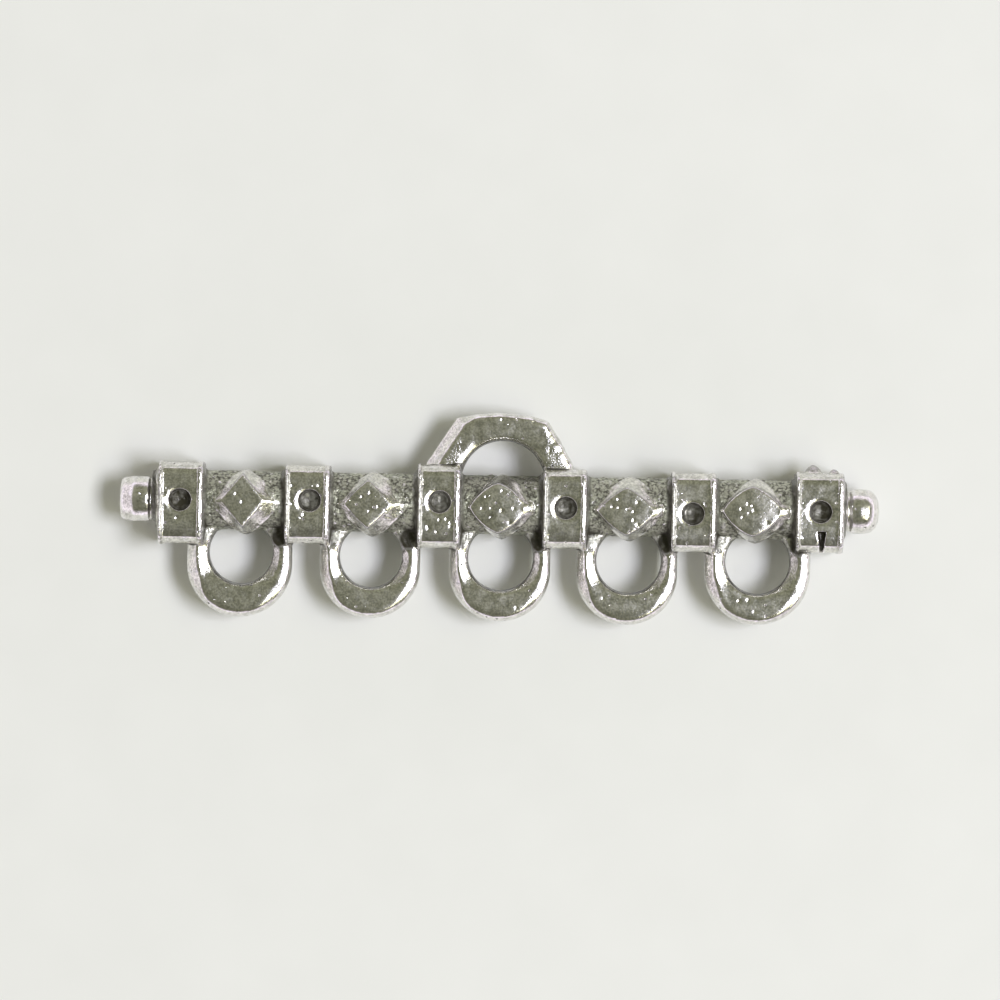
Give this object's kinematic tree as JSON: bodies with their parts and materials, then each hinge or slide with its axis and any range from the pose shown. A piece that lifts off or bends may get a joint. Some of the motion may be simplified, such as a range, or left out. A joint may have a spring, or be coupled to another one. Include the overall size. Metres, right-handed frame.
{
  "type": "multi-strand jewellery connector",
  "caption": "Cast bar with D-shaped eyes below for bead strands and an arched hanging eye above, for multi-strand necklaces and earrings.",
  "frame": {"origin": "centre of the bounding box, at the level of the cuffs' backs that it rests on", "axes": "+X along the bar, +Y from the bar towards the hanging loop, +Z from the backs of the cuffs to their fronts"},
  "size_m": [0.038, 0.0104, 0.0036],
  "materials": {
    "antique_silver": "antique silver over a cast grey alloy: bright worn edges, dark brown-black patina in the recesses"
  },
  "bodies": {
    "root": {"connector": "antique_silver"}
  },
  "joints": []
}
